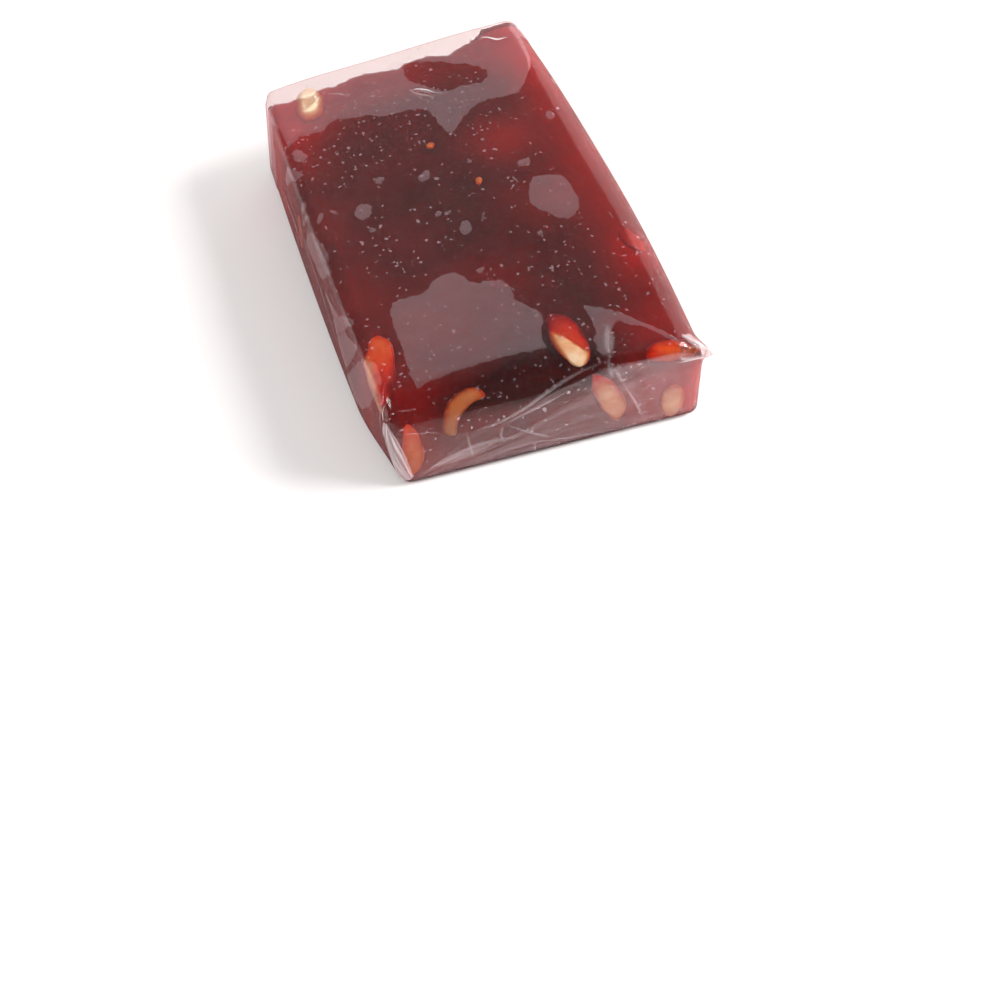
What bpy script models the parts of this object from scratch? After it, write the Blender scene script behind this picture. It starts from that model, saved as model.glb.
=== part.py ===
"""Bandar halwa: one block of dark red jelly sweet with cashews in it, folded in clear film.

Metres, +Z up. The block lies on a broad face with its length along Y, and its folded front
end faces -Y. The origin is the middle of its footprint, on the surface that it rests on.
"""

import math

import bmesh
import bpy
from mathutils import Euler, Vector

# The wrapped block, measured over the film
PACK_LENGTH = 0.1130
PACK_WIDTH = 0.0722
PACK_HEIGHT = 0.0262
FILM_WALL = 0.0003
FIT_GAP = 0.0003

# How far the hand-cut block is out of square
BULGE_RIGHT = 0.0026
BULGE_LEFT = 0.0010
LEFT_LEAN = 0.0034
FRONT_SKEW = 0.0030
BACK_SKEW = 0.0016
FRONT_LEAN = 0.0020
BACK_LEAN = 0.0016
BACK_BOW = 0.0012
TOP_RIPPLE = 0.00025

# Radii of the film's edges
RADIUS_TOP_RIGHT = 0.0078
RADIUS_TOP_LEFT = 0.0030
RADIUS_BOTTOM = 0.0024
RADIUS_UPRIGHT = 0.0026
RADIUS_FRONT_ROUND = 0.0090
RADIUS_FRONT_TIGHT = 0.0026
RADIUS_BACK = 0.0016

# The film's folds
SEAM_GAP = 0.0006
SEAM_LENGTH = 0.0900
EAR_LENGTH = 0.0068
EAR_SPREAD = 0.0040
EAR_WAY = Vector((0.76, -0.62, 0.04))
FLAP_RISE = 0.0007
CREASE_DEPTH = 0.0004
CREASE_WIDTH = 0.0022
TUCK_RISE = 0.0009
TUCK_WIDTH = 0.0022

# The halwa stops short of the film at its torn back edge: places across it, and how far short
# it is there, in millimetres
TEAR_LINE = (
    (-36.0, 1.9), (-33.0, 3.1), (-30.0, 3.8), (-27.0, 3.1), (-23.0, 3.0), (-20.5, 2.7),
    (-18.0, 3.4), (-15.4, 2.5), (-11.0, 1.8), (-6.0, 2.7), (-1.0, 4.0), (1.2, 2.7), (8.0, 2.6),
    (12.8, 4.6), (15.0, 3.6), (19.0, 3.1), (22.0, 2.2), (24.0, 0.4), (27.0, 0.0), (36.0, 0.0),
)
TEAR_ROUND = 0.0060
TEAR_ROUND_RIGHT = 0.0026

# Cashew pieces: name, middle (x, y, z), length, width, thickness, turn about X, Y, Z, curl.
# Millimetres and degrees, and radians for the curl, half the arc that the piece bends through.
# Each reaches the halwa's surface and is cut flush with it.
CASHEWS = (
    ("cashew_top_front", (7.9, -45.6, 22.9), 19.4, 9.8, 7.5, (-36, -15, -92), 0.29),
    ("cashew_left_side", (-34.0, -38.6, 22.2), 18.5, 8.0, 6.5, (32, 20, -108), 0.25),
    ("cashew_front_left", (-32.5, -53.0, 11.8), 18.0, 5.6, 6.5, (-15, 77, -105), 0.20),
    ("cashew_front_hook", (-20.4, -52.8, 19.3), 15.6, 4.6, 4.8, (61, -39, 19), 1.30),
    ("cashew_front_right", (13.6, -56.3, 13.0), 18.4, 6.6, 6.5, (62, 69, -27), 0.23),
    ("cashew_front_corner", (28.8, -58.4, 6.9), 11.5, 6.6, 6.0, (44, 83, -40), 0.34),
    ("cashew_under_ear", (28.2, -57.2, 22.8), 12.0, 4.8, 5.2, (18, 2, -19), 0.34),
    ("cashew_back_left", (-25.5, 47.6, 23.1), 12.4, 8.2, 6.4, (0, 0, 81), 0.31),
    ("cashew_right_side", (36.0, -8.0, 12.0), 18.0, 9.0, 7.0, (0, 90, 84), 0.36),
    ("cashew_right_back", (35.0, 36.0, 14.0), 15.0, 8.0, 6.5, (20, 84, 60), 0.43),
    ("cashew_left_back", (-35.0, 20.0, 10.0), 16.0, 8.5, 6.5, (-14, 88, 96), 0.38),
    ("cashew_back_end", (8.0, 52.7, 11.0), 16.0, 8.5, 7.0, (90, 24, 0), 0.47),
    ("cashew_base", (-9.0, 4.0, 3.0), 19.0, 10.0, 7.0, (0, 8, 40), 0.51),
)

# Cells in each rounded edge and between them, across, along and up the block
GRID = (4, 10, 4, 12, 3, 2)

MM = 0.001


def smooth_step(low, high, value):
    """0 below low, 1 above high, and an even curve between."""
    share = max(0.0, min(1.0, (value - low) / (high - low)))
    return share * share * (3 - 2 * share)


def stations(half, zone, in_zone, between):
    """Places to cut along one side: close together in the rounded zones, even between."""
    inner = half - zone
    near = [inner + zone * math.sin(math.pi / 2 * k / in_zone) for k in range(in_zone)]
    middle = [-inner + 2 * inner * k / between for k in range(1, between)]
    return [-value for value in reversed(near)] + middle + near


def cut_box(length, width, height, cuts_x, cuts_y, cuts_z):
    """A box about the origin, cut into a grid by planes across each of its axes."""
    mesh = bmesh.new()
    bmesh.ops.create_cube(mesh, size=1.0)
    bmesh.ops.scale(mesh, vec=(width, length, height), verts=mesh.verts)
    for axis, cuts in ((0, cuts_x), (1, cuts_y), (2, cuts_z)):
        normal = Vector((axis == 0, axis == 1, axis == 2))
        for place in cuts:
            whole = mesh.verts[:] + mesh.edges[:] + mesh.faces[:]
            bmesh.ops.bisect_plane(mesh, geom=whole, plane_co=normal * place, plane_no=normal)
    return mesh


def round_corner(a, b, half_a, half_b, radius):
    """Moves a point of a square edge, halves half_a and half_b wide, onto its rounding."""
    u = (abs(a) - half_a) / radius + 1
    v = (abs(b) - half_b) / radius + 1
    if u <= 0 or v <= 0:
        return a, b
    pull = max(u, v) / math.hypot(u, v)
    round_a = half_a + radius * (u * pull - 1)
    round_b = half_b + radius * (v * pull - 1)
    return math.copysign(round_a, a), math.copysign(round_b, b)


def front_radius(x):
    """The front top edge is broadly rounded, but pulled tight towards the film's ear."""
    tight = smooth_step(0.002, 0.016, x)
    return RADIUS_FRONT_ROUND * (1 - tight) + RADIUS_FRONT_TIGHT * tight


def round_box(point, inset, back_radius):
    """Rounds the edges of a square box that lies inset inside the film's outer face."""
    x, y, z = point
    half_x = PACK_WIDTH / 2 - inset
    half_y = PACK_LENGTH / 2 - inset
    half_z = PACK_HEIGHT / 2 - inset
    radius = RADIUS_TOP_RIGHT if x > 0 else RADIUS_TOP_LEFT
    if z < 0:
        radius = RADIUS_BOTTOM
    x, z = round_corner(x, z, half_x, half_z, radius - inset)
    radius = back_radius if y > 0 else front_radius(x)
    if z < 0:
        radius = RADIUS_BOTTOM
    y, z = round_corner(y, z, half_y, half_z, radius - inset)
    x, y = round_corner(x, y, half_x, half_y, RADIUS_UPRIGHT - inset)
    return Vector((x, y, z + PACK_HEIGHT / 2))


def settle(point):
    """Takes a point of the square block to its place in the real, slightly uneven block."""
    x, y, z = point
    along = y / (PACK_LENGTH / 2)
    across = x / (PACK_WIDTH / 2)
    up = z / PACK_HEIGHT
    bulge = 1 - min(1.0, along * along)
    moved_x = x + (BULGE_RIGHT if x > 0 else BULGE_LEFT) * bulge * across
    moved_x += LEFT_LEAN * (1 - up) * min(0.0, across) * smooth_step(-1.05, -0.55, along)
    to_front = smooth_step(0.2, 1.0, -along)
    to_back = smooth_step(0.2, 1.0, along)
    moved_y = y - (FRONT_SKEW * across + FRONT_LEAN * (1 - up)) * to_front
    bow = BACK_BOW * (1 - across * across)
    moved_y += (BACK_SKEW * across + BACK_LEAN * (1 - up) + bow) * to_back
    ripple = math.sin(95 * x + 1.1) * math.sin(70 * y + 0.4) + 0.5 * math.sin(160 * x - 120 * y)
    return Vector((moved_x, moved_y, z + TOP_RIPPLE * ripple * smooth_step(0.3, 0.9, up)))


def front_fold(x, z):
    """How far the folded film stands out from the front end, at x across and z up."""
    if x < -0.018:
        edge = 0.0160 + 0.0080 * smooth_step(0.018, 0.035, -x)
    else:
        edge = 0.0160 + 0.0100 * smooth_step(-0.018, 0.0150, x)
    rise = FLAP_RISE * smooth_step(-0.0012, 0.0012, edge - z)
    crease_x = 0.0150 + 0.0100 * (1 - z / PACK_HEIGHT)
    rise -= CREASE_DEPTH * math.exp(-(((x - crease_x) / CREASE_WIDTH) ** 2))
    corner = PACK_WIDTH / 2 - 0.0030
    rise += TUCK_RISE * math.exp(-(((x + corner) / TUCK_WIDTH) ** 2))
    return max(0.0, rise)


def back_fold(x, z):
    """The back end's folds: two side flaps under a pointed one that comes up from below."""
    reach = PACK_HEIGHT * 0.82 * (1 - abs(x) / (PACK_WIDTH / 2))
    rise = FLAP_RISE * smooth_step(-0.0015, 0.0015, reach - z)
    return rise + 0.4 * FLAP_RISE * smooth_step(0.012, 0.020, abs(x))


def film_point(point):
    """The film's outer face: the rounded block with its folds and its pinched ear."""
    flat = round_box(point, 0.0, RADIUS_BACK)
    end = flat.y / (PACK_LENGTH / 2)
    if point.y <= -PACK_LENGTH / 2 + 1e-6:
        flat.y -= front_fold(flat.x, flat.z) * smooth_step(0.96, 1.0, -end)
    if point.y >= PACK_LENGTH / 2 - 1e-6:
        flat.y += back_fold(flat.x, flat.z) * smooth_step(0.96, 1.0, end)
    placed = settle(flat)
    corner = settle(Vector((PACK_WIDTH / 2, -PACK_LENGTH / 2, PACK_HEIGHT)))
    near = math.exp(-(((placed - corner).length / EAR_SPREAD) ** 2))
    return placed + EAR_WAY.normalized() * EAR_LENGTH * near


def tear_inset(x):
    """How far the halwa's torn back edge lies inside the film, at x across."""
    for (start, from_inset), (stop, to_inset) in zip(TEAR_LINE, TEAR_LINE[1:]):
        if x <= stop * MM:
            share = max(0.0, (x / MM - start) / (stop - start))
            return (from_inset + share * (to_inset - from_inset)) * MM
    return TEAR_LINE[-1][1] * MM


def halwa_point(point):
    """The halwa's face: the same block inside the film, with its torn back edge."""
    right = smooth_step(0.014, 0.024, point.x)
    tear_round = TEAR_ROUND * (1 - right) + TEAR_ROUND_RIGHT * right
    flat = round_box(point, FILM_WALL + FIT_GAP, tear_round)
    to_back = smooth_step(0.55, 1.0, flat.y / (PACK_LENGTH / 2))
    flat.y -= tear_inset(flat.x) * to_back
    return settle(flat)


def shaped_box(name, inset, cuts, place):
    """One object: a gridded box, inset on every side, with each vertex put in its place."""
    length = PACK_LENGTH - 2 * inset
    width = PACK_WIDTH - 2 * inset
    height = PACK_HEIGHT - 2 * inset
    cuts_x = stations(width / 2, 0.0085, cuts[0], cuts[1])
    cuts_y = stations(length / 2, 0.0090, cuts[2], cuts[3])
    cuts_z = stations(height / 2, 0.0080, cuts[4], cuts[5])
    if inset == 0:
        cuts_x += [-SEAM_GAP / 2, SEAM_GAP / 2]
    mesh = cut_box(length, width, height, sorted(cuts_x), cuts_y, cuts_z)
    if inset == 0:
        slot = [face for face in mesh.faces if in_seam(face.calc_center_median())]
        bmesh.ops.delete(mesh, geom=slot, context="FACES")
    for vertex in mesh.verts:
        vertex.co = place(vertex.co.copy())
    return finish_mesh(mesh, name)


def in_seam(centre):
    """True on the underside's seam, where the two edges of the film meet."""
    under = centre.z < 1e-6 - PACK_HEIGHT / 2
    return under and abs(centre.x) < SEAM_GAP / 2 and abs(centre.y) < SEAM_LENGTH / 2


def finish_mesh(mesh, name):
    """Turns a bmesh into an object that isn't in a collection yet."""
    data = bpy.data.meshes.new(name)
    mesh.to_mesh(data)
    mesh.free()
    return bpy.data.objects.new(name, data)


def cashew(name, middle, length, width, thickness, turns, curl, grow):
    """One cashew piece: a flattened ball, bent along an arc and thinner at one tip."""
    mesh = bmesh.new()
    rings = 8 if curl < 1.0 else 16
    bmesh.ops.create_uvsphere(mesh, u_segments=12, v_segments=rings, radius=1.0)
    turn = Euler([math.radians(angle) for angle in turns]).to_matrix()
    half = Vector((length, width, thickness)) * MM / 2
    radius = half.x / curl
    to_middle = radius * (1 + math.cos(curl)) / 2
    for vertex in mesh.verts:
        x, y, z = vertex.co.z, vertex.co.x, vertex.co.y
        slim = 1 - 0.16 * (x + 1) / 2 - 0.05 * math.sin(5 * x + 3 * y)
        out = radius + y * slim * half.y
        across = out * math.cos(x * curl) - to_middle
        vertex.co = Vector((out * math.sin(x * curl), across, z * slim * half.z))
    mesh.normal_update()
    if grow:
        for vertex in mesh.verts:
            vertex.co += vertex.normal * grow
    place = Vector(middle) * MM
    for vertex in mesh.verts:
        vertex.co = turn @ vertex.co + place
    return finish_mesh(mesh, name)


def add_boolean(target, operation, operand):
    """A Boolean on target with one object, or with every object of a collection."""
    cut = target.modifiers.new(operation.lower(), "BOOLEAN")
    cut.operation = operation
    cut.solver = "EXACT"
    if isinstance(operand, bpy.types.Collection):
        cut.operand_type = "COLLECTION"
        cut.collection = operand
    else:
        cut.object = operand


def surface(name, colour, roughness, alpha=1.0):
    """A Principled material in the piece's own colour."""
    material = bpy.data.materials.new(name)
    material.use_nodes = True
    shader = material.node_tree.nodes["Principled BSDF"]
    shader.inputs["Base Color"].default_value = (*colour, 1.0)
    shader.inputs["Roughness"].default_value = roughness
    shader.inputs["Metallic"].default_value = 0.0
    shader.inputs["Alpha"].default_value = alpha
    return material


def cutter(item, group):
    """Puts a cutting shape in its collection, drawn as wire and left out of renders."""
    group.objects.link(item)
    item.hide_render = True
    item.display_type = "WIRE"


for old in list(bpy.data.objects):
    bpy.data.objects.remove(old, do_unlink=True)

scene = bpy.context.scene
parts = bpy.data.collections.new("bandar_halwa")
pockets = bpy.data.collections.new("pocket_cutters")
blanks = bpy.data.collections.new("blank_cutters")
for group in (parts, pockets, blanks):
    scene.collection.children.link(group)

film_clear = surface("clear_film", (0.93, 0.93, 0.93), 0.10, 0.30)
halwa_red = surface("halwa_jelly", (0.120, 0.012, 0.012), 0.12)
nut_cream = surface("cashew", (0.620, 0.400, 0.210), 0.45)

middle_of_pack = bpy.data.objects.new("pack_middle", None)
parts.objects.link(middle_of_pack)

# The film: one sheet folded round the block, with its edges meeting along the underside
film = shaped_box("film_wrapper", 0.0, GRID, film_point)
wall = film.modifiers.new("wall", "SOLIDIFY")
wall.thickness = FILM_WALL
wall.offset = -1.0
film.data.materials.append(film_clear)
parts.objects.link(film)

# The halwa: the same block just inside the film
inset = FILM_WALL + FIT_GAP
halwa = shaped_box("halwa_block", inset, GRID, halwa_point)
halwa.data.materials.append(halwa_red)
parts.objects.link(halwa)

blank = bpy.data.objects.new("halwa_blank", halwa.data.copy())
cutter(blank, blanks)

# The cashews: each trimmed flush with the halwa, in a pocket that leaves the fitting gap
for name, middle, length, width, thickness, turns, curl in CASHEWS:
    nut = cashew(name, middle, length, width, thickness, turns, curl, 0.0)
    nut.data.materials.append(nut_cream)
    parts.objects.link(nut)
    add_boolean(nut, "INTERSECT", blank)
    pocket = cashew(name + "_pocket", middle, length, width, thickness, turns, curl, FIT_GAP)
    cutter(pocket, pockets)
add_boolean(halwa, "DIFFERENCE", pockets)

# Everything moves together, so that the origin is under the middle of the wrapped block
xs = [vertex.co.x for vertex in film.data.vertices]
ys = [vertex.co.y for vertex in film.data.vertices]
middle_of_pack.location = (-(min(xs) + max(xs)) / 2, -(min(ys) + max(ys)) / 2, 0.0)
for group in (parts, pockets, blanks):
    for item in group.objects:
        if item is not middle_of_pack:
            item.parent = middle_of_pack
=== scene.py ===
"""Bandar halwa: one block of dark red jelly sweet with cashews, folded in clear film."""

import math

import bmesh
import bpy
import numpy as np
from mathutils import Euler, Matrix, Vector, noise
from mathutils.bvhtree import BVHTree


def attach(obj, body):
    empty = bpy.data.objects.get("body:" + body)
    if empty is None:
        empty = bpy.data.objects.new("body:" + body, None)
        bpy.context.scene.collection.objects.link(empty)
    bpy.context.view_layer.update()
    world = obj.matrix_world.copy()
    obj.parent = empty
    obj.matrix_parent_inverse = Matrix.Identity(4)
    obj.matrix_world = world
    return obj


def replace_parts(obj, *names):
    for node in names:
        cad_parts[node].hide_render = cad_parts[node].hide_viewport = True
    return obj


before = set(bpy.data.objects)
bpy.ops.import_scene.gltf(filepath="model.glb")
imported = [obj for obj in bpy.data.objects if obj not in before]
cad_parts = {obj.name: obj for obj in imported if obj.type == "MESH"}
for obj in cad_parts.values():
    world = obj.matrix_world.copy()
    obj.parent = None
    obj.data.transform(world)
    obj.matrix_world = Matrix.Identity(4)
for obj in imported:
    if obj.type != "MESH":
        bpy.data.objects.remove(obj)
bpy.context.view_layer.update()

# ---------------------------------------------
# The block of halwa
# A jelly of maize starch, sugar and ghee, cooked until it turns clear and dark red, poured
# into a tray and cut by knife. It is out of square, and its back edge is torn.

MM = 0.001
# Its size over the film, and the way from its own middle to the frame's
PACK_WIDTH, PACK_LENGTH, PACK_HEIGHT = 72.2 * MM, 113.0 * MM, 26.2 * MM
TO_FRAME = np.array((0.652, 0.8663, 0.0)) * MM
# How far its faces bulge, lean, run out of square and ripple
BULGE_RIGHT, BULGE_LEFT, LEFT_LEAN = 2.6 * MM, 1.0 * MM, 3.4 * MM
FRONT_SKEW, BACK_SKEW, FRONT_LEAN, BACK_LEAN = 3.0 * MM, 1.6 * MM, 2.0 * MM, 1.6 * MM
BACK_BOW, TOP_RIPPLE = 1.2 * MM, 0.25 * MM
# Radii of its long edges, its upright ones and its front one, which is tighter at the right
TOP_RIGHT_ROUND, TOP_LEFT_ROUND, BOTTOM_ROUND = 7.8 * MM, 3.0 * MM, 2.4 * MM
UPRIGHT_ROUND, FRONT_ROUND, FRONT_TIGHT = 2.6 * MM, 9.0 * MM, 2.6 * MM
# How far the halwa lies inside the film's outer face, and how round and ragged its tear is
HALWA_INSET = 0.30 * MM
TEAR_ROUND, TEAR_ROUND_RIGHT, TEAR_RAG = 5.0 * MM, 2.2 * MM, 0.9 * MM
# Places across the torn back edge, and how far short of the film it stops there, in mm
TEAR_LINE = (
    (-36.0, 1.9), (-33.0, 3.1), (-30.0, 3.8), (-27.0, 3.1), (-23.0, 3.0), (-20.5, 2.7),
    (-18.0, 3.4), (-15.4, 2.5), (-11.0, 1.8), (-6.0, 2.7), (-1.0, 4.0), (1.2, 2.7), (8.0, 2.6),
    (12.8, 4.6), (15.0, 3.6), (19.0, 3.1), (22.0, 2.2), (24.0, 0.4), (27.0, 0.0), (36.0, 0.0))
# The share of the cells that each axis keeps for its rounded ends, and their real share
EDGE_CELLS = np.array((0.34, 0.30, 0.56))
EDGE_SPAN = np.array((8.5 / 36.1, 9.0 / 56.5, 8.0 / 13.1))


def smooth_step(low, high, value):
    """0 up to low, 1 from high on, and an even curve between. Low may be the larger."""
    share = np.clip((value - low) / (high - low), 0, 1)
    return share * share * (3 - 2 * share)


def add_shape(name, add_primitive, **settings):
    """Adds a primitive, with nothing else selected, and names it."""
    bpy.ops.object.select_all(action="DESELECT")
    add_primitive(**settings)
    shape = bpy.context.object
    shape.name = shape.data.name = name
    return shape


def cut_along(axis, cuts):
    """Cuts the open mesh across one axis: each edge that runs along it gets so many cuts."""
    mesh = bmesh.from_edit_mesh(bpy.context.object.data)
    for edge in mesh.edges:
        way = edge.verts[1].co - edge.verts[0].co
        edge.select_set(abs(way[axis]) > 0.9 * way.length)
    bmesh.update_edit_mesh(bpy.context.object.data)
    bpy.ops.mesh.subdivide(number_cuts=cuts)
    bpy.ops.mesh.select_all(action="SELECT")


def cut_block(name, cuts):
    """A cube cut into cells, with the places of its points as shares of its half sizes."""
    block = add_shape(name, bpy.ops.mesh.primitive_cube_add, size=2)
    bpy.ops.object.mode_set(mode="EDIT")
    bpy.ops.mesh.select_mode(type="EDGE")
    for axis, steps in enumerate(cuts):
        for step in steps:
            cut_along(axis, step)
    bpy.ops.object.mode_set(mode="OBJECT")
    share = points_of(block)
    size = np.abs(share)
    flat = size * (1 - EDGE_SPAN) / (1 - EDGE_CELLS)
    edge = 1 - EDGE_SPAN * (1 - size) / EDGE_CELLS
    return block, np.copysign(np.where(size < 1 - EDGE_CELLS, flat, edge), share)


def points_of(piece):
    """The places of a piece's points, one row each."""
    places = np.empty(len(piece.data.vertices) * 3)
    piece.data.vertices.foreach_get("co", places)
    return places.reshape(-1, 3)


def set_points(piece, places):
    """Puts a piece's points in new places and shades it smooth."""
    piece.data.vertices.foreach_set("co", np.asarray(places).ravel())
    piece.data.update()
    piece.data.shade_smooth()


def round_corner(a, b, half_a, half_b, radius):
    """Moves the points of a square edge, halves half_a and half_b wide, onto its rounding."""
    u = (np.abs(a) - half_a) / radius + 1
    v = (np.abs(b) - half_b) / radius + 1
    pull = np.maximum(u, v) / np.maximum(np.hypot(u, v), 1e-9)
    rounded = (u > 0) & (v > 0)
    round_a = np.copysign(half_a + radius * (u * pull - 1), a)
    round_b = np.copysign(half_b + radius * (v * pull - 1), b)
    return np.where(rounded, round_a, a), np.where(rounded, round_b, b)


def round_block(share, inset, back_round):
    """Places on the rounded block, so far inside the film's outer face, still square on."""
    half = np.array((PACK_WIDTH, PACK_LENGTH, PACK_HEIGHT)) / 2
    half = half - np.broadcast_to(inset, len(share))[:, None]
    half_x, half_y, half_z = half.T
    x, y, z = (share * half).T
    top = np.where(x > 0, TOP_RIGHT_ROUND, TOP_LEFT_ROUND)
    x, z = round_corner(x, z, half_x, half_z, np.where(z < 0, BOTTOM_ROUND, top) - inset)
    tight = smooth_step(2 * MM, 16 * MM, x)
    front = FRONT_ROUND * (1 - tight) + FRONT_TIGHT * tight
    end = np.where(y > 0, back_round, front)
    y, z = round_corner(y, z, half_y, half_z, np.where(z < 0, BOTTOM_ROUND, end) - inset)
    x, y = round_corner(x, y, half_x, half_y, UPRIGHT_ROUND - inset)
    return np.stack((x, y, z + PACK_HEIGHT / 2), axis=1)


def settle(places):
    """Takes points of the square block to their places in the real, slightly uneven one."""
    x, y, z = places.T
    along, across, up = 2 * y / PACK_LENGTH, 2 * x / PACK_WIDTH, z / PACK_HEIGHT
    bulge = np.where(x > 0, BULGE_RIGHT, BULGE_LEFT) * (1 - np.minimum(1, along**2))
    lean = LEFT_LEAN * (1 - up) * np.minimum(0, across) * smooth_step(-1.05, -0.55, along)
    to_front, to_back = smooth_step(0.2, 1, -along), smooth_step(0.2, 1, along)
    forward = (FRONT_SKEW * across + FRONT_LEAN * (1 - up)) * to_front
    bow = BACK_BOW * (1 - across**2)
    backward = (BACK_SKEW * across + BACK_LEAN * (1 - up) + bow) * to_back
    # Swells some 30 to 90 mm long, on the top only
    ripple = np.sin(95 * x + 1.1) * np.sin(70 * y + 0.4) + 0.5 * np.sin(160 * x - 120 * y)
    rise = TOP_RIPPLE * ripple * smooth_step(0.3, 0.9, up)
    return np.stack((x + bulge * across + lean, y - forward + backward, z + rise), axis=1)


def torn(places):
    """Draws the back of the block in to its torn edge."""
    x, y, z = places.T
    across, short = np.array(TEAR_LINE).T * MM
    # Rags some 1.4 and 0.5 mm wide, at the very edge and not at its right end
    rag = [noise.noise(Vector((700 * a, 0, 200 * b))) + 0.7 * noise.noise(
        Vector((1900 * a, 9, 500 * b))) for a, b in zip(x, z)]
    rag = np.array(rag) * smooth_step(0.93, 1.0, 2 * y / PACK_LENGTH)
    inset = np.interp(x, across, short) + TEAR_RAG * rag * smooth_step(30 * MM, 24 * MM, x)
    back = smooth_step(0.55, 1, 2 * y / PACK_LENGTH)
    return np.stack((x, y - inset * back, z), axis=1)


def from_hex(code):
    """A screen colour such as #8c2a2c as linear light, with full alpha."""
    parts = [int(code[k : k + 2], 16) / 255 for k in (1, 3, 5)]
    return (*(c / 12.92 if c <= 0.04045 else ((c + 0.055) / 1.055) ** 2.4 for c in parts), 1)


def new_material(name):
    """A material that has no nodes yet, and its node tree."""
    material = bpy.data.materials.new(name)
    material.use_nodes = True
    material.node_tree.nodes.clear()
    return material, material.node_tree


def add_node(tree, kind, inputs=None, **settings):
    """Adds a node with its settings. An input is a value, an output, or a node's first one."""
    node = tree.nodes.new(kind)
    for key, value in settings.items():
        setattr(node, key, value)
    for key, value in (inputs or {}).items():
        if isinstance(value, bpy.types.Node):
            value = value.outputs[0]
        if isinstance(value, bpy.types.NodeSocket):
            tree.links.new(value, node.inputs[key])
        else:
            node.inputs[key].default_value = value
    return node


HALWA_CUTS = ((119,), (59, 1), (33,))  # across X, Y and Z, where (59, 1) cuts twice over
halwa, share = cut_block("halwa", HALWA_CUTS)
right = smooth_step(14 * MM, 24 * MM, share[:, 0] * PACK_WIDTH / 2)
tear_round = TEAR_ROUND * (1 - right) + TEAR_ROUND_RIGHT * right
set_points(halwa, settle(torn(round_block(share, HALWA_INSET, tear_round))) + TO_FRAME)

# Clear starch jelly: smooth and wet, in swells some 11 mm wide, with an IOR near thick sugar
# syrup's. Light goes red within a millimetre of it, because it takes green and blue out first.
jelly, tree = new_material("starch_jelly")
place = add_node(tree, "ShaderNodeTexCoord").outputs["Object"]
slow = add_node(tree, "ShaderNodeTexNoise", {"Vector": place, "Scale": 90.0, "Detail": 2.0})
wave = add_node(tree, "ShaderNodeBump", {
    "Height": slow.outputs["Fac"], "Strength": 0.35, "Distance": 0.5 * MM})
body = add_node(tree, "ShaderNodeBsdfPrincipled", {
    "Base Color": (1, 1, 1, 1), "Roughness": 0.12, "IOR": 1.45, "Specular IOR Level": 0.4,
    "Transmission Weight": 1.0, "Normal": wave.outputs["Normal"]})
# Mean free paths: red 14 mm, green 1.25 mm, blue 0.7 mm
dye = add_node(tree, "ShaderNodeVolumeAbsorption", {
    "Color": (0.950, 0.442, 0.0, 1), "Density": 1430.0})
add_node(tree, "ShaderNodeOutputMaterial", {"Surface": body, "Volume": dye})
halwa.data.materials.append(jelly)
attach(halwa, "root")
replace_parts(halwa, "halwa_block")

# ---------------------------------------------
# The cloudy middle
# Starch and ghee cloud the jelly, so that nothing shows deeper than some 5 mm. It stands for
# the depth at which the eye stops. Its colour holds painted light: darkest in the middle, and
# lighter and redder towards the sides, where light would come in through the thinner jelly.

# How far it lies inside the film's outer face, the radii of its edges, how much its top rises
# towards the torn edge, and how lumpy its top is
MIDDLE_SIDES, MIDDLE_FRONT, MIDDLE_BACK = 1.6 * MM, 1.8 * MM, 0.9 * MM
MIDDLE_TOP, MIDDLE_BASE = 3.8 * MM, 0.6 * MM
MIDDLE_TOP_ROUND, MIDDLE_BASE_ROUND, MIDDLE_BACK_ROUND = 5.0 * MM, 1.3 * MM, 2.5 * MM
MIDDLE_RISE, MIDDLE_LUMPS = 1.8 * MM, 0.8 * MM

middle, share = cut_block("cloudy_middle", ((35,), (55,), (17,)))
behind, above = share[:, 1] > 0, share[:, 2] > 0
half_x = PACK_WIDTH / 2 - MIDDLE_SIDES
half_y = PACK_LENGTH / 2 - np.where(behind, MIDDLE_BACK, MIDDLE_FRONT)
half_z = PACK_HEIGHT / 2 - np.where(above, MIDDLE_TOP, MIDDLE_BASE)
x, y, z = share[:, 0] * half_x, share[:, 1] * half_y, share[:, 2] * half_z
edge_round = np.where(above, MIDDLE_TOP_ROUND, MIDDLE_BASE_ROUND)
x, z = round_corner(x, z, half_x, half_z, edge_round)
y, z = round_corner(y, z, half_y, half_z, np.where(behind, MIDDLE_BACK_ROUND, edge_round))
x, y = round_corner(x, y, half_x, half_y, MIDDLE_BASE_ROUND)
places = np.stack((x, y, z + PACK_HEIGHT / 2), axis=1)
# Lumps some 12 mm wide
lumps = np.array([noise.noise(Vector(point) * 85) for point in places])
rise = MIDDLE_RISE * smooth_step(0.84, 0.97, 2 * y / PACK_LENGTH)
places[:, 2] += (MIDDLE_LUMPS * lumps + rise) * above
set_points(middle, settle(torn(places)) + TO_FRAME)

# Places where the mass is painted lighter and redder, partly for nuts and clearer jelly
# beneath and partly as painted light: middle (x, y) and reach in mm, and how much clearer
# they are
CLEARER_AND_LIT = (
    (-33, 44, 11, 0.80), (-18, 50, 12, 0.26), (-2, 47, 9, 0.12), (27, 45, 13, 0.22),
    (17, 19, 8, 0.46), (20, -5, 8, 0.28), (25, -50, 8, 0.30), (-31, -50, 7, 0.16),
    (0, -49, 15, -0.12), (-34, 6, 9, 0.16), (-34, -16, 9, 0.16),
    (-33, 28, 7, 0.18), (-14, -31, 13, 0.18), (-35, -36, 7, 0.45), (33, -27, 7, 0.30),
    (-2, -20, 6, 0.12), (-28, -48, 7, 0.12))


def carry(piece, name, values):
    """Stores one value a point on the piece, for its material."""
    held = piece.data.attributes.new(name, "FLOAT", "POINT")
    held.data.foreach_set("value", np.asarray(values, np.float32))


x, y, z = points_of(middle).T / MM
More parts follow.
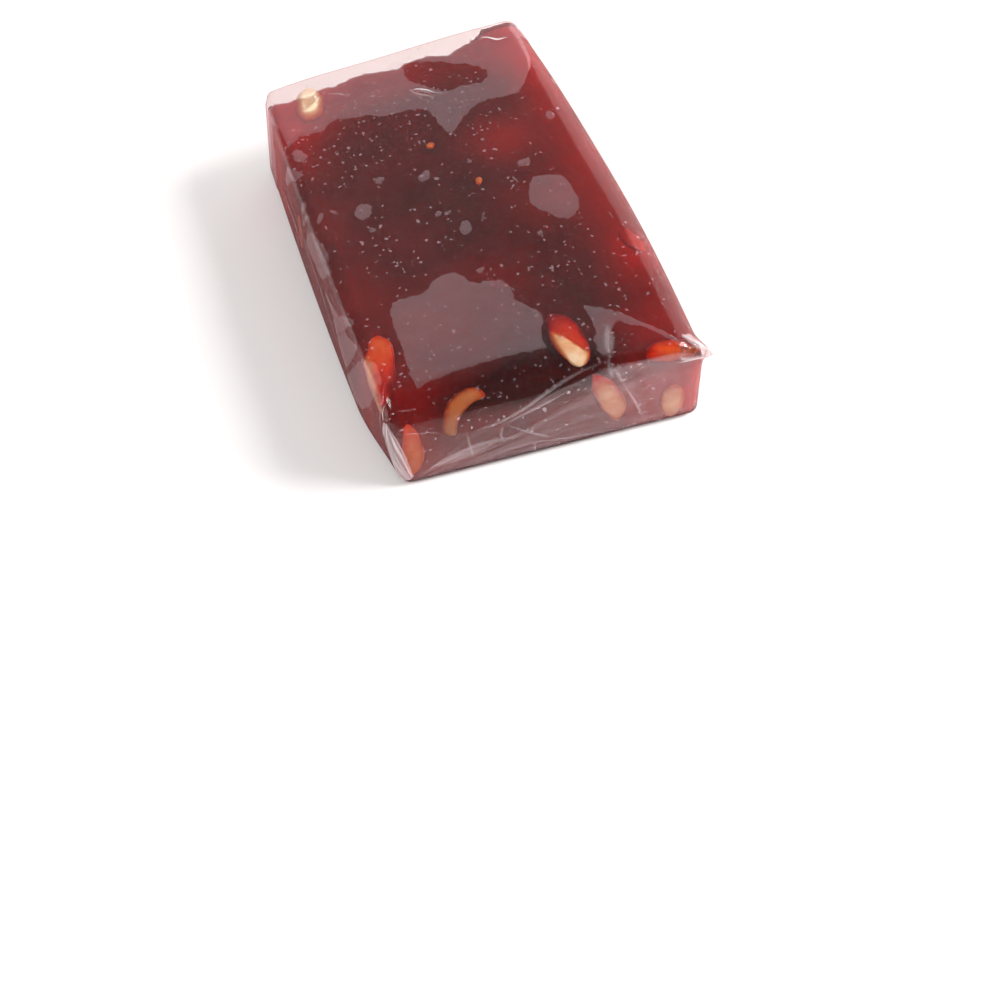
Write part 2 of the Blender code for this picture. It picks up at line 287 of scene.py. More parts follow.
# Painted light: lighter and redder along the right side, low on the front and along the back,
# where light would come through. Painted shade: duller at the front's top
clearness_and_painted_light = 0.16 + 0.42 * smooth_step(17, 35, x) * (0.55 + 0.45 * smooth_step(-22, 0, y))
clearness_and_painted_light = clearness_and_painted_light - 0.14 * smooth_step(-44, -50, y) * smooth_step(24, 10, x)
clearness_and_painted_light = clearness_and_painted_light + 0.30 * smooth_step(22, 15, z) * smooth_step(-50, -54, y)
clearness_and_painted_light = clearness_and_painted_light + 0.22 * smooth_step(38, 50, y)
for spot_x, spot_y, reach, more in CLEARER_AND_LIT:
    clearness_and_painted_light = clearness_and_painted_light + more * np.exp(-((x - spot_x) ** 2 + (y - spot_y) ** 2) / reach**2)
carry(middle, "clearness_and_painted_light", np.clip(clearness_and_painted_light, 0.02, 1.0))

# Cooked starch in the mass: dull and dark red, in clouds some 17 mm wide
cloudy, tree = new_material("cloudy_starch")
place = add_node(tree, "ShaderNodeTexCoord").outputs["Object"]
drift = add_node(tree, "ShaderNodeTexNoise", {"Vector": place, "Scale": 60.0, "Detail": 4.0})
clear = add_node(tree, "ShaderNodeAttribute", attribute_name="clearness_and_painted_light")
cloud = add_node(tree, "ShaderNodeMath", {
    0: drift.outputs["Fac"], 1: 0.36, 2: -0.18}, operation="MULTIPLY_ADD")
# Painted light and shade: the mass turns lighter and redder where the map paints light
redness = add_node(tree, "ShaderNodeMath", {
    0: cloud, 1: clear.outputs["Fac"]}, operation="ADD", use_clamp=True)
redder = add_node(tree, "ShaderNodeMix", {
    "Factor": redness, "A": from_hex("#451814"), "B": from_hex("#f06a5c")},
    data_type="RGBA")
body = add_node(tree, "ShaderNodeBsdfPrincipled", {
    "Base Color": redder.outputs["Result"], "Roughness": 1.0, "Specular IOR Level": 0.0})
add_node(tree, "ShaderNodeOutputMaterial", {"Surface": body})
middle.data.materials.append(cloudy)
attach(middle, "root")

# ---------------------------------------------
# The cashews
# Broken and split cashew kernels, stirred in while the jelly is hot. Those at the faces lie
# flush under them, pressed by the tray and the film, and turn orange and red with depth.

# How softly a nut's flat side turns into its round one, under little and under more jelly
FACE_COVER, DEEP_COVER = 0.1 * MM, 0.4 * MM
FACE_SOFTNESS, DEEP_SOFTNESS = 0.5 * MM, 1.5 * MM
# The depths between which the cloudy jelly hides a nut
CLOUD_START, CLOUD_FULL = 1.4 * MM, 3.3 * MM
# Name, middle (x, y, z), length, width, thickness, turn about X, Y, Z in degrees, half the
# arc that it bends through, in radians, and how much jelly lies over it
CASHEWS = (
    ("cashew_top_front", (7.9, -45.4, 22.6), 19.4, 9.8, 7.5, (-44, -20, -92), 0.29, 0.03),
    ("cashew_left_side", (-34.0, -38.6, 22.2), 18.5, 8.0, 6.5, (32, 20, -108), 0.25, 0.08),
    ("cashew_front_left", (-32.5, -53.0, 11.8), 18.0, 5.6, 6.5, (-15, 77, -105), 0.20, 0.35),
    ("cashew_front_hook", (-19.4, -52.8, 19.3), 15.6, 4.3, 4.8, (61, -39, 19), 1.30, 0.2),
    ("cashew_front_right", (13.6, -56.3, 13.0), 18.4, 6.6, 6.5, (62, 69, -27), 0.23, 0.15),
    ("cashew_front_corner", (28.8, -58.4, 6.9), 11.5, 6.6, 6.0, (44, 83, -40), 0.34, 0.12),
    ("cashew_under_ear", (28.2, -57.2, 22.8), 12.0, 4.8, 5.2, (18, 2, -19), 0.34, 0.35),
    ("cashew_back_left", (-25.5, 47.6, 23.7), 12.4, 8.2, 6.4, (0, 0, 81), 0.31, 0.0),
    ("cashew_right_side", (36.0, -8.0, 12.0), 18.0, 9.0, 7.0, (0, 90, 84), 0.36, 0.3),
    ("cashew_right_back", (35.0, 36.0, 14.0), 15.0, 8.0, 6.5, (20, 84, 60), 0.43, 0.5),
    ("cashew_left_back", (-35.0, 20.0, 10.0), 16.0, 8.5, 6.5, (-14, 88, 96), 0.38, 0.4),
    ("cashew_back_end", (8.0, 52.7, 11.0), 16.0, 8.5, 7.0, (90, 24, 0), 0.47, 0.4),
    ("cashew_base", (-9.0, 4.0, 3.0), 19.0, 10.0, 7.0, (0, 8, 40), 0.51, 0.3),
)
# Two split kernels: beyond a line from (x, y) to (x, y) in mm, one half lies so much deeper
SPLITS = {
    "cashew_top_front": (3.6, -40.9, 10.9, -52.9, 1.05),
    "cashew_left_side": (-35.6, -30.9, -34.6, -46.9, 0.4),
}
# How far one nut is darkened to brown as painted shade, and the one that the torn edge leaves
# bare, up to the film
PAINTED_SHADE_NUTS = {"cashew_front_hook": 0.55}
TORN_FREE, TORN_FREE_TOP = "cashew_back_left", 26.03 * MM


def face_of(piece):
    """A piece's surface, to find the nearest point of it."""
    piece.data.calc_loop_triangles()
    corners = [triangle.vertices[:] for triangle in piece.data.loop_triangles]
    return BVHTree.FromPolygons([vertex.co[:] for vertex in piece.data.vertices], corners)


def press_under(places, covers):
    """Presses the side at the halwa's face flat, and keeps it so far under that face. Also
    gives how deep each point then lies."""
    pressed, depths = [], []
    for point, cover in zip(places, covers):
        near, normal, _, _ = halwa_face.find_nearest(Vector(point))
        depth = (near - Vector(point)).dot(normal)
        sunk = smooth_step(FACE_COVER, DEEP_COVER, cover)
        softness = FACE_SOFTNESS * (1 - sunk) + DEEP_SOFTNESS * sunk
        ratio = (depth - cover) / softness
        soft = softness * (math.log1p(math.exp(ratio)) if ratio < 20 else ratio)
        pressed.append(Vector(point) - normal * (cover + soft - depth))
        depths.append(cover + soft)
    return np.array(pressed), np.array(depths)


def grow_cashew(name, middle_mm, length, width, thickness, turns, curl, cover):
    """One kernel piece: a ball drawn out, bent along an arc and thinner at one tip."""
    nut = add_shape(
        name, bpy.ops.mesh.primitive_uv_sphere_add, segments=36, ring_count=24, radius=1)
    y, z, x = points_of(nut).T  # its poles become its tips
    slim = 1 - 0.16 * (x + 1) / 2 - 0.05 * np.sin(5 * x + 3 * y)
    radius = length / curl / 2
    out = radius + y * slim * width / 2
    places = np.stack((
        out * np.sin(x * curl), out * np.cos(x * curl) - radius * (1 + math.cos(curl)) / 2,
        z * slim * thickness / 2), axis=1)
    turn = Euler([math.radians(angle) for angle in turns]).to_matrix()
    places = places * MM @ np.array(turn).T + np.array(middle_mm) * MM + TO_FRAME
    # Lumps some 4.5 and 1.7 mm wide
    bumps = [noise.noise(Vector(point) * 220) + 0.4 * noise.noise(Vector(point) * 600)
             for point in places]
    inward = np.array(middle_mm) * MM + TO_FRAME - places
    places = places + inward * 0.09 * np.array(bumps)[:, None]
    if name == TORN_FREE:
        places[:, 2], depths = np.minimum(places[:, 2], TORN_FREE_TOP), np.zeros(len(places))
    else:
        from_x, from_y, to_x, to_y, deeper = SPLITS.get(name, (0, 0, 1, 0, 0))
        away = (from_y - to_y, to_x - from_x)
        beyond = (places - TO_FRAME)[:, :2] / MM - (from_x, from_y)
        beyond = beyond @ away / math.hypot(*away)
        covers = (cover + deeper * smooth_step(-0.5, 0.9, beyond)) * MM
        places, depths = press_under(places, covers)
    set_points(nut, places)
    carry(nut, "clouded", smooth_step(CLOUD_START, CLOUD_FULL, depths))
    # How far painted shade darkens this nut to brown
    carry(nut, "painted_shade", np.full(len(places), PAINTED_SHADE_NUTS.get(name, 0.0)))
    nut.data.materials.append(kernel)
    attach(nut, "root")
    return nut


# Cashew kernel: matt and smooth, cream to pale tan in mottles some 4 mm wide, browner where
# it is darkened by painted shade. Cloudy jelly turns it red.
kernel, tree = new_material("cashew_kernel")
place = add_node(tree, "ShaderNodeTexCoord").outputs["Object"]
mottle = add_node(tree, "ShaderNodeTexNoise", {"Vector": place, "Scale": 260.0, "Detail": 4.0})
tone = add_node(tree, "ShaderNodeValToRGB", {"Fac": mottle.outputs["Fac"]})
tone.color_ramp.elements[0].position = 0.3
tone.color_ramp.elements[0].color = from_hex("#ecc593")
tone.color_ramp.elements[1].position = 0.62
tone.color_ramp.elements[1].color = from_hex("#fff0d4")
grain = add_node(tree, "ShaderNodeBump", {
    "Height": mottle.outputs["Fac"], "Strength": 0.3, "Distance": 0.2 * MM})
# Painted shade: the front hook nut's colour is darkened to brown
painted_shade = add_node(tree, "ShaderNodeAttribute", attribute_name="painted_shade")
brown = add_node(tree, "ShaderNodeMix", {
    "Factor": painted_shade.outputs["Fac"], "A": tone.outputs["Color"], "B": from_hex("#94724a")},
    data_type="RGBA")
clouded = add_node(tree, "ShaderNodeAttribute", attribute_name="clouded")
seen = add_node(tree, "ShaderNodeMix", {
    "Factor": clouded.outputs["Fac"], "A": brown.outputs["Result"], "B": from_hex("#b03c2e")},
    data_type="RGBA")
body = add_node(tree, "ShaderNodeBsdfPrincipled", {
    "Base Color": seen.outputs["Result"], "Roughness": 0.6, "Normal": grain.outputs["Normal"]})
add_node(tree, "ShaderNodeOutputMaterial", {"Surface": body})

halwa_face = face_of(halwa)
for facts in CASHEWS:
    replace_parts(grow_cashew(*facts), facts[0])

# Kernels and crumbs sunk deeper, that show as red and orange patches through the jelly
SUNK = (
    ("sunk_crumb_middle", (-1.9, 21.3, 24.7), 2.4, 2.0, 1.8, (0, 0, 20), 0.2, -0.35),
    ("sunk_crumb_right", (5.4, 5.6, 24.7), 2.4, 1.9, 1.8, (0, 0, 70), 0.2, -0.15),
    ("sunk_crumb_left", (-31.6, -48.0, 21.4), 2.4, 1.8, 1.8, (0, 0, 30), 0.2, 1.5),
    ("sunk_kernel_right", (32.2, -21.4, 21.6), 15.0, 5.5, 4.6, (0, 14, 102), 0.4, 1.1),
)
for facts in SUNK:
    grow_cashew(*facts)

# ---------------------------------------------
# The film
# One sheet of clear polypropylene, about 0.03 mm thick, folded round the block like a parcel
# while it is warm. It clings to the jelly, apart from flat air pockets, and is free at the back.

FILM_INSET = 0.22 * MM  # it lies so far inside the solid's outer face
POCKET_LIFT = 0.17 * MM
FILM_BACK_ROUND = 1.6 * MM
EAR_LENGTH, EAR_SPREAD = 6.8 * MM, 4.0 * MM
EAR_WAY = np.array((0.76, -0.62, 0.04)) / np.linalg.norm((0.76, -0.62, 0.04))
# Outlines of the air pockets on the top face, in mm
POCKETS = (
    ((-45, 47), (-37.4, 47), (-36.2, 46.5), (-35.1, 43.4), (-34.5, 38.9), (-34.3, 33.8),
     (-31.3, 36.4), (-28.1, 36.6), (-24.2, 36.5), (-22.3, 38.8), (-20.0, 39.4), (-16.7, 38.1),
     (-13.1, 37.8), (-10.0, 35.8), (-6.2, 35.4), (-2.4, 35.0), (1.3, 33.9), (2.6, 31.4),
     (3.1, 27.4), (3.9, 24.4), (5.3, 23.8), (7.2, 25.4), (10.1, 28.4), (13.5, 30.5),
     (17.1, 31.8), (20.4, 31.2), (23.0, 30.9), (25.3, 31.2), (28.3, 34.0), (31.3, 38.4),
     (33.0, 43.0), (33.4, 47.0), (34.0, 52.3), (45, 54), (45, 70), (-45, 70)),
    ((-26.4, -25.0), (-25.0, -22.8), (-23.4, -22.4), (-20.8, -22.5), (-18.2, -22.6),
     (-16.5, -22.3), (-15.1, -20.4), (-13.4, -19.5), (-11.1, -19.1), (-9.0, -19.6),
     (-7.6, -21.1), (-7.0, -22.9), (-5.3, -24.2), (-2.3, -24.5), (0.0, -25.1), (1.3, -26.8),
     (1.5, -29.5), (1.0, -31.5), (2.3, -33.2), (3.9, -35.4), (5.2, -37.4), (4.8, -39.7),
     (3.4, -42.2), (2.6, -45.5), (3.1, -47.2), (-0.9, -46.7), (-5.4, -46.2), (-9.9, -45.9),
     (-14.6, -45.8), (-19.2, -46.0), (-23.5, -46.3), (-27.2, -47.2), (-27.5, -43.9),
     (-27.3, -39.6), (-26.9, -35.7), (-26.9, -31.2)),
    ((16.5, -0.1), (18.5, 2.0), (21.2, 1.6), (24.7, 0.5), (25.9, -3.1), (25.9, -8.1),
     (25.1, -10.9), (23.2, -12.9), (20.9, -13.6), (18.2, -10.9), (15.6, -7.8), (14.4, -5.5)),
    ((14.7, -39.0), (18.0, -41.0), (20.7, -43.2), (23.5, -46.5), (26.4, -49.7), (29.2, -53.2),
     (32.3, -58.0), (30.7, -58.3), (28.6, -54.5), (26.7, -51.7), (24.2, -49.2), (21.5, -47.2),
     (20.1, -45.8), (17.6, -47.8), (15.6, -51.5), (13.8, -54.6), (12.8, -52.4), (13.3, -49.1),
     (14.9, -46.1), (14.8, -43.0)),
    ((-34.2, 32.3), (-32.5, 32.7), (-31.3, 31.5), (-31.0, 29.1), (-32.3, 27.8), (-34.1, 28.9)),
)
# Outlines of the pockets on the left face: along Y, and up it and on over its top edge
LEFT_POCKETS = (
    ((29.8, 24.1), (23.9, 28.6), (23.1, 25.7), (32.1, 15.7), (32.7, 17.9)),
    ((16.8, 16.8), (13.3, 22.3), (11.0, 26.2), (10.3, 25.1), (13.6, 19.4)),
    ((10.9, 19.6), (6.5, 24.2), (2.9, 25.5), (-0.1, 26.6), (-3.7, 27.1), (-5.4, 26.1),
     (-2.1, 21.8), (3.7, 16.2), (8.5, 14.9), (12.7, 14.2)),
    ((3.8, 15.4), (-5.7, 25.7), (-8.7, 26.4), (-5.6, 21.0), (-1.4, 16.9)),
    ((-3.7, 15.4), (-8.7, 16.8), (-17.1, 20.0), (-11.9, 14.4)),
    ((-11.4, 13.3), (-19.2, 22.8), (-23.3, 26.8), (-25.5, 26.8), (-21.5, 20.0), (-13.9, 10.4)),
    ((-14.4, 10.3), (-21.4, 19.3), (-31.3, 25.5), (-26.5, 14.9), (-21.6, 6.7), (-17.2, 8.0)),
    ((-22.2, 4.7), (-31.8, 20.8), (-37.5, 28.6), (-42.7, 28.3), (-42.9, 22.3), (-38.0, 12.0),
     (-33.8, 5.9), (-28.0, 3.0)),
)
# Where the film touches the jelly within the back pocket
CONTACT = (
    (1.1, 51.6), (2.7, 52.3), (5.7, 51.5), (10.5, 49.4), (13.8, 47.2), (16.2, 46.2),
    (19.1, 44.2), (20.6, 41.5), (19.9, 39.4), (18.1, 38.1), (15.0, 38.6), (12.3, 38.9),
    (10.0, 38.2), (7.7, 38.6), (5.5, 40.1), (4.0, 42.2), (2.0, 44.3), (0.7, 46.0), (0.4, 48.6))
# Small pockets: middle, half widths along X and Y, turn in degrees
SMALL_POCKETS = (
    (-23.2, 6.5, 2.0, 2.7, -20), (-2.1, -7.2, 1.4, 2.3, -15), (17.9, 7.2, 1.9, 1.3, 20),
    (29.8, 20.4, 1.1, 1.6, 0), (-6.6, -0.6, 0.9, 1.0, 0), (-4.6, -1.3, 1.2, 0.6, 10),
    (-16.5, 14.9, 1.4, 1.1, 20), (-6.2, 11.9, 1.9, 1.2, 30), (-5.2, 12.6, 0.8, 1.3, 0),
    (2.7, -5.7, 0.35, 1.6, -30), (-33.4, 8.4, 0.6, 2.0, -25), (13.6, -15.1, 0.9, 0.7, 0),
    (14.0, 2.3, 0.5, 0.8, 0), (5.8, 12.5, 0.8, 0.6, 0), (-29.6, 8.9, 0.4, 1.7, 30),
    (-22.8, 0.1, 1.1, 0.7, -40), (-3.4, -20.8, 1.3, 0.6, 15), (-36.0, 15.0, 0.7, 1.4, 0),
    (-10.4, 18.4, 0.6, 0.5, 0), (-6.6, 21.9, 0.9, 0.4, 20), (-14.0, 21.0, 0.7, 0.5, 0),
)


def inside_by(x, y, outline):
    """How far points lie inside an outline, in its own unit, and below 0 outside it."""
    starts = np.array(outline, float)
    ends = np.roll(starts, -1, axis=0)
    nearest = np.full(len(x), 1e9)
    crossings = np.zeros(len(x), int)
    for (ax, ay), (bx, by) in zip(starts, ends):
        wx, wy = bx - ax, by - ay
        along = np.clip(((x - ax) * wx + (y - ay) * wy) / (wx * wx + wy * wy), 0, 1)
        nearest = np.minimum(nearest, np.hypot(x - ax - along * wx, y - ay - along * wy))
        if ay != by:
            reach = ((ay > y) != (by > y)) & (x < ax + wx * (y - ay) / wy)
            crossings += reach
    return np.where(crossings % 2 == 1, nearest, -nearest)


def ellipse(x, y, half_x, half_y, turn):
    """An ellipse as an outline of 14 points."""
    angle, lean = np.linspace(0, 2 * np.pi, 15)[:-1], math.radians(turn)
    a, b = half_x * np.cos(angle), half_y * np.sin(angle)
    return [(x + p * math.cos(lean) - q * math.sin(lean), y + p * math.sin(lean)
             + q * math.cos(lean)) for p, q in zip(a, b)]


def pocket_depth(places):
    """How far points of the film lie inside an air pocket, in mm, and below 0 outside."""
    x, y, z = places.T / MM
    pocket = np.full(len(x), -4.0)
    for outline in POCKETS + tuple(ellipse(*facts) for facts in SMALL_POCKETS):
        pocket = np.maximum(pocket, inside_by(x, y, outline))
    pocket = np.minimum(pocket, -inside_by(x, y, CONTACT))
    left, over = np.full(len(x), -4.0), z + np.maximum(0, x + 36)
    for outline in LEFT_POCKETS:
        left = np.maximum(left, inside_by(y, over, outline))
    # On the faces that do not show, by chance, some 13 mm wide
    sides = np.array([noise.noise(Vector(point) * 75 + Vector((3.1, 0.7, 5.2)))
                      for point in places]) * 14 - 4.2
    sides = np.where(y > 46, 3.0, np.where((y < -52) | (x < -30), -4.0, sides))
    pocket = np.where(z > 17.5, pocket, np.clip(sides, -4, 4))
    return np.where((x < -28) & (y < 40), np.maximum(pocket, left), pocket)


def film_places(share, standoff):
    """The film's places for points of the cut block, so far out from the halwa's face."""
    flat = round_block(share, FILM_INSET - standoff, FILM_BACK_ROUND)
    corner = np.array(((PACK_WIDTH / 2, -PACK_LENGTH / 2, PACK_HEIGHT),))
    placed = settle(flat)
    near = np.linalg.norm(placed - settle(corner), axis=1) / EAR_SPREAD
    pull = EAR_LENGTH * np.exp(-(near**2))
    return placed + pull[:, None] * EAR_WAY + TO_FRAME


film, share = cut_block("film_wrap", ((59, 1), (74, 1), (43,)))
pocket = pocket_depth(film_places(share, 0))
set_points(film, film_places(share, POCKET_LIFT * smooth_step(-0.4, 0.6, pocket)))
carry(film, "pocket_mm", pocket)
halwa_gap = [halwa_face.find_nearest(Vector(point))[3] for point in points_of(film)]
carry(film, "free", smooth_step(0.32 * MM, 0.52 * MM, np.array(halwa_gap)))


def hold(piece):
    """Every piece of film rides on the block and belongs to its wrap."""
    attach(piece, "root")
    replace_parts(piece, "film_wrapper")


# Syrup on the film, square on, a deeper red for painted shade at a slant, and what the film
# mirrors
SYRUP_TINT, SLANT_SHADE_TINT = from_hex("#f3ebea"), from_hex("#b04040")
MIRROR_TINT = from_hex("#ffe4ec")


def pleat_brightness(tree, place):
    """How bright the fine pleats are that fan out from the corner where a flap is gathered."""
    ray = add_node(tree, "ShaderNodeAttribute", attribute_name="fan")
    across = add_node(tree, "ShaderNodeSeparateXYZ", {"Vector": place})
    spread = add_node(tree, "ShaderNodeMath", {
        0: ray.outputs["Fac"], 1: 17.0}, operation="MULTIPLY")
    reach = add_node(tree, "ShaderNodeMath", {
        0: across.outputs["X"], 1: 30.0}, operation="MULTIPLY")
    rays = add_node(tree, "ShaderNodeCombineXYZ", {"X": spread, "Y": reach})
    pleats = add_node(tree, "ShaderNodeTexNoise", {
        "Vector": rays, "Scale": 1.0, "Detail": 4.0, "Roughness": 0.6})
    streak = add_node(tree, "ShaderNodeMapRange", {
        "Value": pleats.outputs["Fac"], "From Min": 0.34, "From Max": 0.66,
        "To Min": 0.35, "To Max": 1.75})
    # Only the gathered lower rays are thick enough to show
    thick = add_node(tree, "ShaderNodeMapRange", {
        "Value": ray.outputs["Fac"], "From Min": 0.60, "From Max": 1.10,
        "To Min": 1.0, "To Max": 0.12})
    return add_node(tree, "ShaderNodeMath", {0: streak, 1: thick}, operation="MULTIPLY")


def air_brightness(tree, place, mirror):
    """The film's mirror where it stands free, and specks and a fine mist where it clings."""
    held = add_node(tree, "ShaderNodeAttribute", attribute_name="pocket_mm")
    rag = add_node(tree, "ShaderNodeTexNoise", {
        "Vector": place, "Scale": 700.0, "Detail": 3.0, "Roughness": 0.6})
    edge = add_node(tree, "ShaderNodeMath", {
        0: rag.outputs["Fac"], 1: 1.6, 2: -0.8}, operation="MULTIPLY_ADD")
    depth = add_node(tree, "ShaderNodeMath", {0: held.outputs["Fac"], 1: edge}, operation="ADD")
    open_air = add_node(tree, "ShaderNodeMapRange", {
        "Value": depth, "From Min": -0.10, "From Max": 0.10})
    free_mirror = add_node(tree, "ShaderNodeMath", {0: mirror, 1: open_air}, operation="MULTIPLY")
    # Specks of trapped air and crumb, up to 0.9 and 0.6 mm wide, in drifts some 22 mm wide
    drifts = add_node(tree, "ShaderNodeTexNoise", {"Vector": place, "Scale": 45.0, "Detail": 1.0})
    gather = add_node(tree, "ShaderNodeMapRange", {
        "Value": drifts.outputs["Fac"], "From Min": 0.3, "From Max": 0.7,
        "To Min": 0.35, "To Max": 0.65})
    sway = add_node(tree, "ShaderNodeVectorMath", {
        0: rag.outputs["Color"], 1: (1.6 * MM, 1.6 * MM, 1.6 * MM), 2: place},
        operation="MULTIPLY_ADD")
    specks = 0.0
    for cells_a_metre, least, widest in ((360.0, 0.25, 0.16), (750.0, 0.26, 0.24)):
        cells = add_node(tree, "ShaderNodeTexVoronoi", {"Vector": sway, "Scale": cells_a_metre})
        pick = add_node(tree, "ShaderNodeSeparateColor", {"Color": cells.outputs["Color"]})
        chance = add_node(tree, "ShaderNodeMath", {
            0: gather, 1: pick.outputs["Red"]}, operation="MULTIPLY")
        size = add_node(tree, "ShaderNodeMapRange", {
            "Value": chance, "From Min": least, "From Max": least + 0.15,
            "To Min": 0.0, "To Max": widest})
        dot = add_node(tree, "ShaderNodeMath", {
            0: cells.outputs["Distance"], 1: size}, operation="LESS_THAN")
        specks = add_node(tree, "ShaderNodeMath", {0: specks, 1: dot}, operation="MAXIMUM")
    # A mist of finer ones that can't be told apart
    haze = add_node(tree, "ShaderNodeTexNoise", {"Vector": place, "Scale": 1300.0, "Detail": 2.0})
    mist = add_node(tree, "ShaderNodeMapRange", {
        "Value": haze.outputs["Fac"], "From Min": 0.50, "From Max": 0.72,
        "To Min": 0.0, "To Max": 0.032})
    bright = add_node(tree, "ShaderNodeMath", {
        0: specks, 1: 0.27, 2: mist}, operation="MULTIPLY_ADD")
    return add_node(tree, "ShaderNodeMath", {0: free_mirror, 1: bright}, operation="MAXIMUM")


def syrup_and_shade_tint(tree, place, slant):
    """The tint of the thin syrup on the film, with painted shade: deeper red at a slant and along
    the bottom edge.
    """
    free = add_node(tree, "ShaderNodeAttribute", attribute_name="free")
    tint = add_node(tree, "ShaderNodeMix", {
        "Factor": free.outputs["Fac"], "A": (1, 1, 1, 1), "B": SYRUP_TINT}, data_type="RGBA")
    # Painted shade: deeper red at a slant, which darkens what shows through the film there
    tilt = add_node(tree, "ShaderNodeMath", {0: slant, 1: 0.5}, operation="MINIMUM")
    # Painted shade: deeper red along the bottom edge
    rise = add_node(tree, "ShaderNodeSeparateXYZ", {"Vector": place})
    low = add_node(tree, "ShaderNodeMapRange", {
        "Value": rise.outputs["Z"], "From Min": 0.8 * MM, "From Max": 3.0 * MM,
        "To Min": 0.75, "To Max": 0.0})
    for share in (tilt, low):
        tint = add_node(tree, "ShaderNodeMix", {
            "Factor": share, "A": tint.outputs["Result"], "B": SLANT_SHADE_TINT},
            data_type="RGBA")
    return tint.outputs["Result"]


def film_material(name, layers, haze_and_highlight, pockets=False, streaks=False, soft=False):
    """Cast polypropylene film, clear, with soft wrinkles some 6 mm wide. Each free layer mirrors
    13% of the light, and more at a slant. Where it clings, only the jelly's own gloss shows."""
    material, tree = new_material(name)
    place = add_node(tree, "ShaderNodeTexCoord").outputs["Object"]
    wrinkle = add_node(tree, "ShaderNodeTexNoise", {
        "Vector": place, "Scale": 160.0, "Detail": 3.0, "Distortion": 0.6})
    bump = add_node(tree, "ShaderNodeBump", {
        "Height": wrinkle.outputs["Fac"], "Strength": 0.5, "Distance": 0.6 * MM})
    facing = add_node(tree, "ShaderNodeLayerWeight", {
        "Blend": 0.5, "Normal": bump.outputs["Normal"]}).outputs["Facing"]
    slant = add_node(tree, "ShaderNodeMath", {0: facing, 1: 4.0}, operation="POWER")
    mirror = add_node(tree, "ShaderNodeMath", {0: slant, 1: 0.06, 2: 0.13 * layers},
                      operation="MULTIPLY_ADD", use_clamp=True)
    if streaks:
        streak = pleat_brightness(tree, place)
        mirror = add_node(tree, "ShaderNodeMath", {0: mirror, 1: streak}, operation="MULTIPLY")
    if soft:
        fade = add_node(tree, "ShaderNodeAttribute", attribute_name="fade")
        mirror = add_node(tree, "ShaderNodeMath", {0: mirror, 1: fade.outputs["Fac"]},
                          operation="MULTIPLY")
    tint = (1, 1, 1, 1)
    if pockets:
        mirror = air_brightness(tree, place, mirror)
        tint = syrup_and_shade_tint(tree, place, slant)
    clear = add_node(tree, "ShaderNodeBsdfTransparent", {"Color": tint})
    gloss = add_node(tree, "ShaderNodeBsdfGlossy", {
        "Color": MIRROR_TINT, "Roughness": 0.10, "Normal": bump.outputs["Normal"]})
    # White haze of creased, layered film, partly a painted highlight on the folds and creases
    white = add_node(tree, "ShaderNodeBsdfDiffuse", {"Color": from_hex("#f6efee")})
    sheen = add_node(tree, "ShaderNodeMixShader", {"Fac": haze_and_highlight, 1: gloss, 2: white})
    skin = add_node(tree, "ShaderNodeMixShader", {"Fac": mirror, 1: clear, 2: sheen})
    add_node(tree, "ShaderNodeOutputMaterial", {"Surface": skin})
    return material


film.data.materials.append(film_material("clear_film", 1.08, 0.10, pockets=True))
hold(film)

# ---------------------------------------------
# The folded front end
# The film's end is tucked in at both sides, and its lower flap is folded up over the tucks
# to the block's top edge. Each fold is a free layer, and they show as pale bands.

FLAP_STEP = 0.16 * MM  # from each layer to the next
FOOT_LOW, FOOT_HIGH = 1 * MM, 5 * MM  # heights between which a sheet comes into sight
# Upper edges of the flaps, as (x, z) in mm from left to right
FRONT_FLAP_EDGE = (
    (-36.0, 19.0), (-31.7, 19.2), (-27.4, 17.6), (-23.0, 16.2), (-18.9, 15.9), (-14.9, 16.7),
    (-11.3, 17.6), (-4.3, 19.7), (1.6, 21.3), (7.6, 23.5), (12.4, 25.3), (14.5, 25.9),
    (18.0, 25.3), (36.0, 24.6))
FRONT_LAP_EDGE = (
    (-36.0, 2.8), (-33.3, 3.7), (-26.4, 5.6), (-19.2, 7.8), (-12.0, 10.4), (-5.0, 13.5),
    (6.0, 19.0), (12.5, 24.0), (14.5, 25.6), (16.6, 20.7), (19.9, 11.9), (22.8, 2.0),
    (24.0, 0.6), (36.0, 0.6))


def lay_sheet(name, edges_low, edges_high, level, end=-1):
    """A sheet of film on the front end (-1) or the back one (1), so many layers out, between
    two lines of (x, z) places."""
    sheet = add_shape(
        name, bpy.ops.mesh.primitive_grid_add, x_subdivisions=90, y_subdivisions=24, size=2)
    u, v = points_of(sheet)[:, 0], (points_of(sheet)[:, 1] + 1) / 2
    low, high = np.array(edges_low) * MM, np.array(edges_high) * MM
    start, stop = max(low[0, 0], high[0, 0]), min(low[-1, 0], high[-1, 0])
    x = -end * (start + (u + 1) / 2 * (stop - start) - TO_FRAME[0])
    foot = np.interp(x, low[:, 0], low[:, 1])
    head = np.interp(x, high[:, 0], high[:, 1])
    z = foot + v * (head - foot)
    wave = np.sin(330 * x + 60 * v) * np.sin(260 * z + 1) * 0.05 * MM
    lift = (FLAP_STEP * level + wave) * smooth_step(0.5 * MM, 5 * MM, z)
    lift = lift + 0.04 * MM * level + 0.25 * MM * smooth_step(0.8, 1, v) * level
    half_z = PACK_HEIGHT / 2
    share = np.stack((
        x / (PACK_WIDTH / 2), np.full(len(x), float(end)), (z - half_z) / half_z), axis=1)
    set_points(sheet, film_places(np.clip(share, -1, 1), lift))
    carry(sheet, "fan", np.arctan2(z - 1 * MM, x * -end + 35.5 * MM))
    carry(sheet, "fade", smooth_step(FOOT_LOW, FOOT_HIGH, z))
    sheet.data.materials.append(folded)
    hold(sheet)


